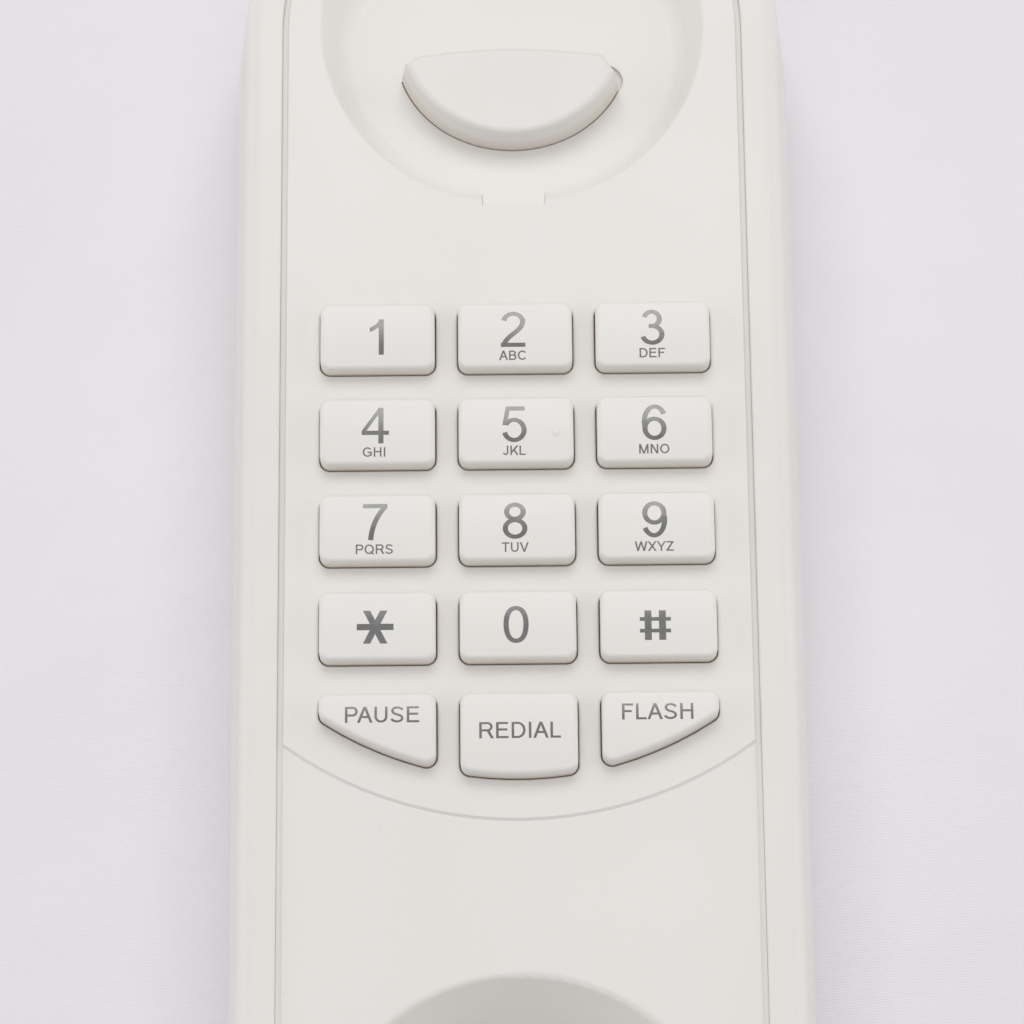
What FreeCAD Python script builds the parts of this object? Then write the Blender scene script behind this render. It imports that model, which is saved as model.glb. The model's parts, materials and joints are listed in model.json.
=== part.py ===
"""Base unit of a slim corded telephone with the keypad in the base.

Frame: X across the phone, +Y towards the earpiece end, +Z up and out of the face.
The origin is under the middle of the base, on the surface that the feet rest on.
All sizes are in millimetres.
"""
import FreeCAD, Part
import math
import os

from FreeCAD import Vector

# ---- driving dimensions: case -------------------------------------------------
FACE_Z = 34.0              # height of the face panel
CRADLE_Y = 78.1            # centres of the rounded ends lie this far from the middle
WIDEST_HALF = 38.75        # half width at the parting line
PARTING_Z = 11.5           # where the upper housing meets the bottom cover
WALL = 2.2                 # wall thickness of the mouldings
RAIL_INNER = 31.19         # inner edge of the side rails
RAIL_TOP_OUTER = 36.05     # outer edge of the rails, where the side wall starts
RAIL_PROUD = 0.3           # the rails stand this far above the face
RAIL_RADIUS = 2.4          # outer rounding of the rails
RAIL_INNER_RADIUS = 0.25
LEDGE_INNER = 29.0         # inner edge of the ledge that carries the face panel
LEDGE_THICKNESS = 1.55
FLOOR_BOTTOM_Z = 2.0       # underside of the bottom cover
FLOOR_THICKNESS = 2.2
FLOOR_TOP_Z = FLOOR_BOTTOM_Z + FLOOR_THICKNESS

# ---- driving dimensions: face panel -------------------------------------------
PANEL_HALF = 31.17
PANEL_EDGE = 0.15          # rounding of the panel's outer edge
SEAM_WIDTH = 0.75          # shallow groove along the panel's edge, beside the rails
SEAM_DEPTH = 0.55
PANEL_THICKNESS = 2.2
PANEL_UNDER_Z = FACE_Z - PANEL_THICKNESS
DISH_RADIUS = 25.8         # rim radius of the dish
DISH_TILT = 8.5            # slope of the dish floor, degrees, deeper to the end
DISH_DEPTH = 4.0           # depth of the dish floor at its middle
DISH_CORNER = 3.0          # rounding between floor and wall
DISH_SLOPE = 55.0          # wall of the dish, degrees from level
DISH_SHIFT = 2.8           # middle of the dish floor, nearer the keys than the rim's centre
CUP_Y = -78.9
CUP_RADIUS = 26.7
CUP_DEPTH = 9.5
CUP_CORNER = 2.4
CUP_SLOPE = 61.0
DISH_RIM_ROUNDING = 0.4
CUP_RIM_ROUNDING = 1.0
APERTURE_ROUNDING = 0.3
STEP_RADIUS = 51.2         # curved step below the keypad
STEP_CENTRE_Y = 19.0
STEP_HEIGHT = 0.3
STEP_RUN = 0.35            # the step slopes down over this width

# ---- driving dimensions: keypad ------------------------------------------------
KEY_PITCH_X = 18.2
KEY_PITCH_Y = 13.25
FIRST_ROW_Y = 32.8
KEY_WIDTH = 15.1
KEY_HEIGHT = 9.2
KEY_CORNER = 1.3
KEY_EDGE = 0.6             # rounding of the top edges
KEY_PROUD = 2.6            # keys stand this far above the face
KEY_CROWN_RADIUS = 40.0    # the tops are slightly curved from row to row
KEY_GAP = 0.15
KEY_FLANGE = 0.8
FLANGE_THICKNESS = 1.2
FLANGE_TOP_Z = PANEL_UNDER_Z - 0.05
FUNCTION_ROW_TOP_Y = -15.95
FUNCTION_ARC_RADIUS = 45.85

# ---- driving dimensions: hook button -------------------------------------------
HOOK_LEFT = 15.0           # tips of the crescent, from the middle
HOOK_RIGHT = 14.4
HOOK_ARC_RADIUS = 15.8
HOOK_ARC_CENTRE_Y = 76.6
HOOK_SHOULDER_LEFT = 13.3
HOOK_SHOULDER_RIGHT = 12.8
HOOK_SHOULDER_Y = 73.4
HOOK_CROWN_Y = 74.4
HOOK_PROUD = 2.95
HOOK_DRAFT = 0.6
HOOK_EDGE = 0.9
HOOK_GAP = 0.14
HOOK_POCKET = (12.4, 71.5, 2.7)  # shallow round pocket by the button's right tip: x, y, radius
HOOK_POCKET_FLOOR_Z = FACE_Z - 4.4
HOOK_STEM_Y = 68.0
HOOK_STEM_RADIUS = 3.0
HOOK_FLANGE_TOP_Z = 27.6
HOOK_FLANGE_THICKNESS = 1.6
GUIDE_TOP_Z = 18.0
GUIDE_RADIUS = 5.0
GUIDE_CLEARANCE = 0.06

# ---- driving dimensions: inside ------------------------------------------------
BOARD_THICKNESS = 1.6
SCREW_HOLE = 1.4           # radius of the screw holes through the boards
SCREW_PILOT = 1.12         # radius of the holes that the board screws bite into
MAIN_BOARD_TOP_Z = 27.0
MAIN_BOARD_HALF = 26.5
MAIN_BOARD_Y = (-40.0, 46.0)
MEMBRANE_THICKNESS = 0.8
DOME_TOP_Z = 29.9
LINE_BOARD_TOP_Z = 12.1
LINE_BOARD_HALF = 22.0
LINE_BOARD_Y = (57.5, 99.0)
JACK_FRONT = CRADLE_Y + 37.3
SCREW_POST_X = 28.5
SCREW_POST_Y = 62.0
FOOT_X = 22.0
FOOT_Y = 84.0
FOOT_RADIUS = 5.5
KEYHOLE_Y = 50.0
KEYHOLE_ENTRY_RADIUS = 4.4
KEYHOLE_SLOT_RADIUS = 2.1
KEYHOLE_SLOT_LENGTH = 8.0
RINGER_Y = -82.0
SOUND_RING = 7.0           # six sound holes on this radius and one in the middle
SOUND_HOLE = 1.0
SWITCH_X = 14.0
SWITCH_Y = 84.0

PANEL_POSTS = [(x, y) for x in (-21.0, 21.0) for y in (42.5, -36.5)]
CASE_POSTS = [(x, y) for x in (-SCREW_POST_X, SCREW_POST_X) for y in (-SCREW_POST_Y, SCREW_POST_Y)]
LINE_POSTS = [(x, y) for x in (-18.5, 18.5) for y in (61.0, 95.5)]
MAIN_BOARD_UNDER_Z = MAIN_BOARD_TOP_Z - BOARD_THICKNESS
LINE_BOARD_UNDER_Z = LINE_BOARD_TOP_Z - BOARD_THICKNESS


# ---- small helpers -------------------------------------------------------------
def box(x0, x1, y0, y1, z0, z1):
    return Part.makeBox(x1 - x0, y1 - y0, z1 - z0, Vector(x0, y0, z0))


def rod(x, y, z0, z1, radius):
    return Part.makeCylinder(radius, z1 - z0, Vector(x, y, z0))


def ring(x, y, z0, z1, outer, inner):
    return rod(x, y, z0, z1, outer).cut(rod(x, y, z0 - 1, z1 + 1, inner))


def fuse_all(shapes):
    whole = shapes[0]
    if len(shapes) > 1:
        whole = whole.multiFuse(shapes[1:]).removeSplitter()
    return whole


def cut_all(shape, tools):
    return shape.cut(fuse_all(tools)) if tools else shape


def save(shape, node):
    shape.exportStep("parts/" + node + ".step")


def rounded_wire(corners, place):
    """Closed wire through corners (a, b, radius); place(a, b) gives the point in space."""
    runs = []
    count = len(corners)
    for i, (a, b, radius) in enumerate(corners):
        here = place(a, b)
        back = place(*corners[i - 1][:2]) - here
        ahead = place(*corners[(i + 1) % count][:2]) - here
        back.normalize()
        ahead.normalize()
        if radius == 0:
            runs.append((here, None, here))
            continue
        half = back.getAngle(ahead) / 2
        middle = back + ahead
        middle.normalize()
        reach = radius / math.tan(half)
        start = here + back * reach
        end = here + ahead * reach
        deep = here + middle * (radius / math.sin(half) - radius)
        runs.append((start, deep, end))
    edges = []
    for i, (start, deep, end) in enumerate(runs):
        if deep is not None:
            edges.append(Part.Arc(start, deep, end).toShape())
        following = runs[(i + 1) % count][0]
        if (following - end).Length > 1e-6:
            edges.append(Part.LineSegment(end, following).toShape())
    return Part.Wire(edges)


def around_stadium(corners):
    """Sweep a section (distance from the centre line, z, radius) once round the stadium plan."""
    wire = rounded_wire(corners, lambda a, b: Vector(a, -CRADLE_Y, b))
    section = Part.Face(wire)
    right = section.extrude(Vector(0, 2 * CRADLE_Y, 0))
    left = right.mirror(Vector(0, 0, 0), Vector(1, 0, 0))
    foot_end = section.revolve(Vector(0, -CRADLE_Y, 0), Vector(0, 0, 1), -180)
    head_end = foot_end.mirror(Vector(0, 0, 0), Vector(0, 1, 0))
    return fuse_all([right, left, foot_end, head_end])


def stadium_plate(half, z0, z1):
    """Solid plate with the stadium plan."""
    parts = [box(-half, half, -CRADLE_Y, CRADLE_Y, z0, z1)]
    parts += [rod(0, side * CRADLE_Y, z0, z1, half) for side in (-1, 1)]
    return fuse_all(parts)


def offset_prism(face, distance, z0, z1):
    """Prism over a flat face that is grown by distance."""
    grown = face.makeOffset2D(distance) if distance else face
    grown = grown.copy()
    grown.translate(Vector(0, 0, z0 - grown.BoundBox.ZMin))
    return grown.extrude(Vector(0, 0, z1 - z0))


def upright_edges(shape):
    found = []
    for edge in shape.Edges:
        extent = edge.BoundBox
        if extent.XLength < 1e-4 and extent.YLength < 1e-4:
            found.append(edge)
    return found


def edges_at_height(shape, z, tolerance=0.05):
    found = []
    for edge in shape.Edges:
        extent = edge.BoundBox
        if abs(extent.ZMin - z) < tolerance and abs(extent.ZMax - z) < tolerance:
            found.append(edge)
    return found


# ---- key outlines --------------------------------------------------------------
def bottom_face(shape):
    low = shape.BoundBox.ZMin
    flat = [f for f in shape.Faces if f.BoundBox.ZMax < low + 1e-3]
    return flat[0]


def dial_outline(column, row):
    """Outline of one of the twelve dialling keys, at z = 0."""
    x = (column - 1) * KEY_PITCH_X
    y = FIRST_ROW_Y - row * KEY_PITCH_Y
    block = box(x - KEY_WIDTH / 2, x + KEY_WIDTH / 2, y - KEY_HEIGHT / 2, y + KEY_HEIGHT / 2, 0, 1)
    return bottom_face(block.makeFillet(KEY_CORNER, upright_edges(block)))


def function_outline(column):
    """Outline of a function key, cut off below by an arc about the step's centre."""
    x = (column - 1) * KEY_PITCH_X
    low = STEP_CENTRE_Y - FUNCTION_ARC_RADIUS - 1
    block = box(x - KEY_WIDTH / 2, x + KEY_WIDTH / 2, low, FUNCTION_ROW_TOP_Y, 0, 1)
    block = block.common(rod(0, STEP_CENTRE_Y, 0, 1, FUNCTION_ARC_RADIUS))
    return bottom_face(block.makeFillet(KEY_CORNER, upright_edges(block)))


def key_outlines():
    """Node name to outline, for all fifteen keys."""
    names = ("1", "2", "3", "4", "5", "6", "7", "8", "9", "star", "0", "hash")
    outlines = {"key_" + name: dial_outline(i % 3, i // 3) for i, name in enumerate(names)}
    for column, name in enumerate(("pause", "redial", "flash")):
        outlines["key_" + name] = function_outline(column)
    return outlines


def middle_of(outline):
    centre = outline.CenterOfMass
    return centre.x, centre.y


# ---- hook button outline -------------------------------------------------------
def hook_outline(inset=0.0):
    """Crescent: a round lower edge, slanted shoulders and a nearly straight upper edge."""
    radius = HOOK_ARC_RADIUS - inset
    left_x = HOOK_LEFT - inset
    right_x = HOOK_RIGHT - inset
    left = Vector(-left_x, HOOK_ARC_CENTRE_Y - math.sqrt(radius ** 2 - left_x ** 2), 0)
    right = Vector(right_x, HOOK_ARC_CENTRE_Y - math.sqrt(radius ** 2 - right_x ** 2), 0)
    bottom = Vector(0, HOOK_ARC_CENTRE_Y - radius, 0)
    shoulder_left = Vector(-HOOK_SHOULDER_LEFT + inset, HOOK_SHOULDER_Y - inset, 0)
    shoulder_right = Vector(HOOK_SHOULDER_RIGHT - inset, HOOK_SHOULDER_Y - inset, 0)
    crown = Vector(0, HOOK_CROWN_Y - inset, 0)
    return Part.Wire([
        Part.Arc(left, bottom, right).toShape(),
        Part.LineSegment(right, shoulder_right).toShape(),
        Part.Arc(shoulder_right, crown, shoulder_left).toShape(),
        Part.LineSegment(shoulder_left, left).toShape(),
    ])


# ---- cradle bowls --------------------------------------------------------------
def bowl(rim_radius, depth, corner, slope, height, grow):
    """Round pan with its rim at z = depth and its floor at z = 0, grown outwards by grow."""
    angle = math.radians(slope)
    wall_run = (depth - corner * (1 - math.cos(angle))) / math.tan(angle)
    floor_radius = rim_radius - corner * math.sin(angle) - wall_run
    swell = corner + grow
    arc_start = Vector(floor_radius, 0, -grow)
    middle_angle = angle / 2
    centre = Vector(floor_radius, 0, corner)
    arc_middle = centre + Vector(math.sin(middle_angle), 0, -math.cos(middle_angle)) * swell
    arc_end = centre + Vector(math.sin(angle), 0, -math.cos(angle)) * swell
    run = (height - arc_end.z) / math.sin(angle)
    rim = arc_end + Vector(math.cos(angle), 0, math.sin(angle)) * run
    centre_low = Vector(0, 0, -grow)
    centre_high = Vector(0, 0, rim.z)
    section = Part.Face(Part.Wire([
        Part.LineSegment(centre_low, arc_start).toShape(),
        Part.Arc(arc_start, arc_middle, arc_end).toShape(),
        Part.LineSegment(arc_end, rim).toShape(),
        Part.LineSegment(rim, centre_high).toShape(),
        Part.LineSegment(centre_high, centre_low).toShape(),
    ]))
    return section.revolve(Vector(0, 0, 0), Vector(0, 0, 1), 360)


def dish_bowl(grow):
    shape = bowl(DISH_RADIUS, DISH_DEPTH, DISH_CORNER, DISH_SLOPE, DISH_DEPTH + 8, grow)
    shape.rotate(Vector(0, 0, 0), Vector(1, 0, 0), -DISH_TILT)
    shape.translate(Vector(0, CRADLE_Y - DISH_SHIFT, FACE_Z - DISH_DEPTH))
    return shape


def cup_bowl(grow):
    shape = bowl(CUP_RADIUS, CUP_DEPTH, CUP_CORNER, CUP_SLOPE, CUP_DEPTH + 2, grow)
    shape.translate(Vector(0, CUP_Y, FACE_Z - CUP_DEPTH))
    return shape


# ---- case ----------------------------------------------------------------------
def jack_windows():
    """Openings in the end walls for the two jacks."""
    line = box(-6.9, 6.9, JACK_FRONT - 6, JACK_FRONT + 6, PARTING_Z - 3, 23.4)
    handset = box(-5.9, 5.9, -JACK_FRONT - 6, -JACK_FRONT + 6, PARTING_Z - 3, 22.4)
    return [line, handset]


def upper_housing():
    rail_top = FACE_Z + RAIL_PROUD
    ledge_top = PANEL_UNDER_Z - 0.02
    ledge_under = ledge_top - LEDGE_THICKNESS
    side_run = (rail_top - ledge_under) / (rail_top - PARTING_Z) * (WIDEST_HALF - RAIL_TOP_OUTER)
    shell = around_stadium([
        (RAIL_INNER, rail_top, RAIL_INNER_RADIUS),
        (RAIL_TOP_OUTER, rail_top, RAIL_RADIUS),
        (WIDEST_HALF, PARTING_Z, 0.4),
        (WIDEST_HALF - WALL, PARTING_Z, 0),
        (RAIL_TOP_OUTER - WALL + side_run, ledge_under, 1.0),
        (LEDGE_INNER, ledge_under, 0),
        (LEDGE_INNER, ledge_top, 0),
        (RAIL_INNER, ledge_top, 0),
    ])
    posts = [rod(x, y, PARTING_Z, ledge_under + 0.5, 3.4) for x, y in CASE_POSTS]
    pilots = [rod(x, y, PARTING_Z - 1, 24, 1.32) for x, y in CASE_POSTS]
    return cut_all(fuse_all([shell] + posts), pilots + jack_windows())


def panel_hook(x_side, y):
    """Snap hook that grips the ledge from inside."""
    gap = 0.15
    leg = box(LEDGE_INNER - 1.6, LEDGE_INNER - gap, y - 3, y + 3, 28.6, PANEL_UNDER_Z + 0.5)
    barb = box(LEDGE_INNER - 1.6, LEDGE_INNER + 0.8, y - 3, y + 3, 28.6, 30.1)
    hook = leg.fuse(barb).removeSplitter()
    return hook if x_side > 0 else hook.mirror(Vector(0, 0, 0), Vector(1, 0, 0))


def hanger_pocket(grow, z0, z1):
    """Block around the hanger tab's slot at the dish's lower rim."""
    return box(-4.2 - grow, 4.2 + grow, 52.15 - grow, 54.1 + grow, z0, z1)


def rim_edges(solid, end):
    """Edges where the dish (end 1) or the cup (end -1) breaks through the top of the panel."""
    found = []
    for edge in solid.Edges:
        extent = edge.BoundBox
        away = abs(end * extent.Center.y - CRADLE_Y)
        level = extent.ZLength < 1e-3 and extent.ZMin > FACE_Z - STEP_HEIGHT - 0.01
        if level and away < DISH_RADIUS and extent.XMax < PANEL_HALF - 1.5 and extent.XLength > 1:
            found.append(edge)
    return found


def aperture_edges(solid):
    """Top edges of the fifteen key openings."""
    found = []
    for edge in edges_at_height(solid, FACE_Z, 0.001):
        extent = edge.BoundBox
        by_keypad = -30 < extent.YMin and extent.YMax < 40 and abs(extent.Center.x) < 28
        if by_keypad and extent.XLength < KEY_WIDTH + 1:
            found.append(edge)
    return found


def step_cone(z0, z1):
    """Cone whose side is the sloping step, STEP_RADIUS wide half-way up the step."""
    slope = STEP_RUN / STEP_HEIGHT
    middle_z = FACE_Z - STEP_HEIGHT / 2
    lower = STEP_RADIUS + (middle_z - z0) * slope
    upper = STEP_RADIUS + (middle_z - z1) * slope
    return Part.makeCone(lower, upper, z1 - z0, Vector(0, STEP_CENTRE_Y, z0))


def face_panel(outlines):
    raised = stadium_plate(PANEL_HALF - SEAM_WIDTH, PANEL_UNDER_Z, FACE_Z)
    raised = raised.makeFillet(PANEL_EDGE, edges_at_height(raised, FACE_Z))
    plate = fuse_all([raised, stadium_plate(PANEL_HALF, PANEL_UNDER_Z, FACE_Z - SEAM_DEPTH)])
    low = FACE_Z - STEP_HEIGHT
    below_keys = box(-PANEL_HALF - 1, PANEL_HALF + 1, -CRADLE_Y - 40, STEP_CENTRE_Y - 35, low, FACE_Z + 1)
    plate = plate.cut(below_keys.cut(step_cone(low - 1, FACE_Z + 2)))
    under = box(-60, 60, -160, 160, 0, FACE_Z - 1.0)
    shells = [dish_bowl(WALL).common(under), cup_bowl(WALL).common(under)]
    posts = [rod(x, y, MAIN_BOARD_TOP_Z, PANEL_UNDER_Z + 0.5, 3.0) for x, y in PANEL_POSTS]
    pilots = [rod(x, y, MAIN_BOARD_TOP_Z - 1, PANEL_UNDER_Z - 0.8, SCREW_PILOT) for x, y in PANEL_POSTS]
    hooks = [panel_hook(side, y) for side in (-1, 1) for y in (-52.0, -19.0, 18.0, 49.0)]
    pocket = hanger_pocket(1.2, 20.5, FACE_Z - 1.0)
    solid = fuse_all([plate, pocket] + shells + posts + hooks).cut(dish_bowl(0)).cut(cup_bowl(0))
    solid = solid.makeFillet(DISH_RIM_ROUNDING, rim_edges(solid, 1))
    solid = solid.makeFillet(CUP_RIM_ROUNDING, rim_edges(solid, -1))
    openings = [offset_prism(o, KEY_GAP, PANEL_UNDER_Z - 1, FACE_Z + 1) for o in outlines.values()]
    slot_face = Part.Face(hook_outline())
    openings.append(offset_prism(slot_face, HOOK_GAP, 20, FACE_Z + 5))
    pocket_x, pocket_y, pocket_radius = HOOK_POCKET
    openings.append(rod(pocket_x, pocket_y, HOOK_POCKET_FLOOR_Z, FACE_Z + 5, pocket_radius))
    openings.append(hanger_pocket(0, 21.7, FACE_Z + 1))
    solid = cut_all(solid, openings + pilots)
    return solid.makeFillet(APERTURE_ROUNDING, aperture_edges(solid))


def keyhole(y):
    """Wall-mount keyhole: round entry with a slot that runs on towards +Y."""
    z0 = FLOOR_BOTTOM_Z - 1
    z1 = FLOOR_TOP_Z + 0.2
    entry = rod(0, y, z0, z1, KEYHOLE_ENTRY_RADIUS)
    end = rod(0, y + KEYHOLE_SLOT_LENGTH, z0, z1, KEYHOLE_SLOT_RADIUS)
    channel = box(-KEYHOLE_SLOT_RADIUS, KEYHOLE_SLOT_RADIUS, y, y + KEYHOLE_SLOT_LENGTH, z0, z1)
    return fuse_all([entry, channel, end])


def keyhole_housing(y, grow, z1):
    half = KEYHOLE_ENTRY_RADIUS + 0.4 + grow
    return box(-half, half, y - half, y + KEYHOLE_SLOT_LENGTH + half - 2, FLOOR_TOP_Z - 1, z1)


def bottom_cover():
    top = PARTING_Z - 0.05
    outer = [
        (0, FLOOR_BOTTOM_Z, 0),
        (34.6, FLOOR_BOTTOM_Z, 4.0),
        (WIDEST_HALF - 0.3, top - 1.5, 1.0),
        (WIDEST_HALF - 0.3, top, 0.3),
        (WIDEST_HALF - 2.55, top, 0),
        (WIDEST_HALF - 2.55, top + 2.0, 0.3),
        (WIDEST_HALF - 3.95, top + 2.0, 0.3),
        (WIDEST_HALF - 3.95, top - 1.5, 1.0),
        (32.9, FLOOR_TOP_Z, 2.2),
        (0, FLOOR_TOP_Z, 0),
    ]
    tray = around_stadium(outer)
    guide = rod(0, HOOK_STEM_Y, FLOOR_TOP_Z - 0.5, GUIDE_TOP_Z, GUIDE_RADIUS)
    case_posts = [rod(x, y, FLOOR_TOP_Z - 0.5, top, 4.6) for x, y in CASE_POSTS]
    line_posts = [rod(x, y, FLOOR_TOP_Z - 0.5, LINE_BOARD_UNDER_Z, 2.9) for x, y in LINE_POSTS]
    pockets = [keyhole_housing(y, 1.2, 9.6) for y in (-KEYHOLE_Y, KEYHOLE_Y)]
    jack_stand = box(-5.6, 5.6, -JACK_FRONT + 2.2, -JACK_FRONT + 13, FLOOR_TOP_Z - 0.5, LINE_BOARD_TOP_Z)
    ringer_wall = ring(0, RINGER_Y, FLOOR_TOP_Z - 0.5, 9.0, 16.2, 14.9)
    ringer_shelf = ring(0, RINGER_Y, FLOOR_TOP_Z - 0.5, 6.2, 15.2, 12.4)
    seats = [guide, jack_stand, ringer_wall, ringer_shelf]
    solid = fuse_all([tray] + seats + case_posts + line_posts + pockets)
    cuts = []
    for x, y in CASE_POSTS:
        cuts.append(rod(x, y, FLOOR_BOTTOM_Z - 1, 7.5, 3.3))
        cuts.append(rod(x, y, 7, PARTING_Z + 1, 1.7))
    cuts += [rod(x, y, FLOOR_TOP_Z + 1, LINE_BOARD_UNDER_Z + 1, SCREW_PILOT) for x, y in LINE_POSTS]
    cuts.append(rod(0, HOOK_STEM_Y, 6.0, GUIDE_TOP_Z + 1, HOOK_STEM_RADIUS + GUIDE_CLEARANCE))
    for y in (-KEYHOLE_Y, KEYHOLE_Y):
        cuts.append(keyhole(y))
        cuts.append(keyhole_housing(y, 0, 8.4))
    for x in (-FOOT_X, FOOT_X):
        for y in (-FOOT_Y, FOOT_Y):
            cuts.append(rod(x, y, FLOOR_BOTTOM_Z - 1, FLOOR_BOTTOM_Z + 0.8, FOOT_RADIUS + 0.1))
    cuts.append(box(-15.2, 15.2, -21.2, 21.2, FLOOR_BOTTOM_Z - 1, FLOOR_BOTTOM_Z + 0.25))
    for x in (-SWITCH_X, SWITCH_X):
        slot = (x - 1.6, x + 1.6, SWITCH_Y - 4.2, SWITCH_Y + 4.2)
        cuts.append(box(*slot, FLOOR_BOTTOM_Z - 1, FLOOR_TOP_Z + 1))
    for turn in range(6):
        a = math.radians(60 * turn)
        x = SOUND_RING * math.cos(a)
        y = RINGER_Y + SOUND_RING * math.sin(a)
        cuts.append(rod(x, y, FLOOR_BOTTOM_Z - 1, FLOOR_TOP_Z + 1, SOUND_HOLE))
    cuts.append(rod(0, RINGER_Y, FLOOR_BOTTOM_Z - 1, FLOOR_TOP_Z + 1, SOUND_HOLE))
    line_window = box(-6.9, 6.9, JACK_FRONT - 4, JACK_FRONT + 6, PARTING_Z - 0.05, 23.4)
    handset_window = box(-5.9, 5.9, -JACK_FRONT - 6, -JACK_FRONT + 4, PARTING_Z - 0.05, 22.4)
    return cut_all(solid, cuts + [line_window, handset_window])


# ---- keys ----------------------------------------------------------------------
def key_cap(outline):
    """Cap with a crowned top, a flange that keeps it in, and a foot on its dome."""
    x, y = middle_of(outline)
    top = FACE_Z + KEY_PROUD
    centre_y = (outline.BoundBox.YMin + outline.BoundBox.YMax) / 2
    body = offset_prism(outline, 0, FLANGE_TOP_Z - 0.5, top + 1)
    crown_start = Vector(x - 20, centre_y, top - KEY_CROWN_RADIUS)
    body = body.common(Part.makeCylinder(KEY_CROWN_RADIUS, 40, crown_start, Vector(1, 0, 0)))
    rim = [e for e in body.Edges if e.BoundBox.ZMin > top - 1.2]
    body = body.makeFillet(KEY_EDGE, rim)
    flange = offset_prism(outline, KEY_FLANGE, FLANGE_TOP_Z - FLANGE_THICKNESS, FLANGE_TOP_Z)
    foot = rod(x, y, DOME_TOP_Z + 0.05, FLANGE_TOP_Z - 0.5, 2.2)
    return fuse_all([body, flange, foot])


def key_5(outline):
    """The middle key carries a small raised dot."""
    cap = key_cap(outline)
    dot_radius = 1.1
    dot_proud = 0.18
    dot_z = FACE_Z + KEY_PROUD - dot_radius + dot_proud
    dot = Part.makeSphere(dot_radius, Vector(5.25, FIRST_ROW_Y - KEY_PITCH_Y - 0.5, dot_z))
    return cap.fuse(dot)


def keypad_membrane(outlines):
    z0 = MAIN_BOARD_TOP_Z
    z1 = z0 + MEMBRANE_THICKNESS
    sheet = box(-26.0, 26.0, -31.5, 38.6, z0, z1)
    domes = []
    hollows = []
    for outline in outlines.values():
        x, y = middle_of(outline)
        domes.append(Part.makeCone(4.1, 2.6, DOME_TOP_Z - z1, Vector(x, y, z1)))
        hollows.append(Part.makeCone(3.5, 2.3, DOME_TOP_Z - 0.8 - z0, Vector(x, y, z0)))
    return cut_all(fuse_all([sheet] + domes), hollows)


def carbon_pills(outlines):
    top = DOME_TOP_Z - 0.8
    return Part.makeCompound([rod(*middle_of(o), top - 0.5, top, 1.5) for o in outlines.values()])


# ---- hook button and its switch ------------------------------------------------
def hook_button():
    low = HOOK_FLANGE_TOP_Z - 0.5
    high = FACE_Z + HOOK_PROUD
    base = hook_outline()
    base.translate(Vector(0, 0, low))
    shoulder = hook_outline()
    shoulder.translate(Vector(0, 0, FACE_Z - 2.2))
    top = hook_outline(HOOK_DRAFT)
    top.translate(Vector(0, 0, high))
    straight = Part.makeLoft([base, shoulder], True, True)
    drafted = Part.makeLoft([shoulder, top], True, True)
    drafted = drafted.makeFillet(HOOK_EDGE, edges_at_height(drafted, high))
    flange_face = Part.Face(hook_outline())
    flange_low = HOOK_FLANGE_TOP_Z - HOOK_FLANGE_THICKNESS
    flange = offset_prism(flange_face, 1.3, flange_low, HOOK_FLANGE_TOP_Z)
    stem = rod(0, HOOK_STEM_Y, 12.5, flange_low + 0.5, HOOK_STEM_RADIUS)
    finger = box(8.5, 11.5, HOOK_STEM_Y - 1.5, HOOK_STEM_Y + 1.5, 23.0, flange_low + 0.5)
    return fuse_all([straight, drafted, flange, stem, finger])


def hook_spring():
    """Compression spring round the stem, between the guide and the flange."""
    wire_radius = 0.35
    coil_radius = 4.1
    bottom = GUIDE_TOP_Z + wire_radius + 0.02
    top = HOOK_FLANGE_TOP_Z - HOOK_FLANGE_THICKNESS - wire_radius - 0.02
    turns = 4
    helix = Part.makeHelix((top - bottom) / turns, top - bottom, coil_radius)
    start = helix.Edges[0].valueAt(helix.Edges[0].FirstParameter)
    section = Part.Wire(Part.makeCircle(wire_radius, start, Vector(0, 1, 0)))
    coil = Part.Wire(helix.Edges).makePipeShell([section], True, True)
    coil.translate(Vector(0, HOOK_STEM_Y, bottom))
    return coil


def hook_switch():
    body = box(7.0, 19.8, HOOK_STEM_Y - 2.9, HOOK_STEM_Y + 2.9, LINE_BOARD_TOP_Z, LINE_BOARD_TOP_Z + 6.5)
    top = LINE_BOARD_TOP_Z + 6.9
    button = box(9.2, 10.8, HOOK_STEM_Y - 0.8, HOOK_STEM_Y + 0.8, top - 1, top)
    return fuse_all([body, button])


def hook_switch_leaf():
    """Spring leaf that the button's finger presses down on the switch."""
    low = LINE_BOARD_TOP_Z + 6.5
    rise = 22.9
    foot = [(18.8, low, 0), (18.8, low + 0.5, 0), (17.0, low + 0.5, 0)]
    arm = [(8.2, rise, 0), (8.0, rise - 0.35, 0), (16.9, low, 0)]
    wire = rounded_wire(foot + arm, lambda a, b: Vector(a, HOOK_STEM_Y - 1.5, b))
    return Part.Face(wire).extrude(Vector(0, 3.0, 0))


def hanger_tab():
    """Flat reversible tab; the thin lip at its lower end holds the handset when it is turned over."""
    plate = box(-4.17, 4.17, 52.18, 54.07, 22.0, FACE_Z - 0.15)
    grip = box(-3.0, 3.0, 53.55, 54.5, FACE_Z - 3.2, FACE_Z - 2.2)
    notch = box(-1.0, 1.0, 52.0, 54.5, 21.5, 24.5)
    return cut_all(plate, [grip, notch])


# ---- boards --------------------------------------------------------------------
def main_board():
    y0, y1 = MAIN_BOARD_Y
    board = box(-MAIN_BOARD_HALF, MAIN_BOARD_HALF, y0, y1, MAIN_BOARD_UNDER_Z, MAIN_BOARD_TOP_Z)
    board = board.makeFillet(2.0, upright_edges(board))
    holes = [rod(x, y, MAIN_BOARD_UNDER_Z - 1, MAIN_BOARD_TOP_Z + 1, SCREW_HOLE) for x, y in PANEL_POSTS]
    return cut_all(board, holes)


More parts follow.
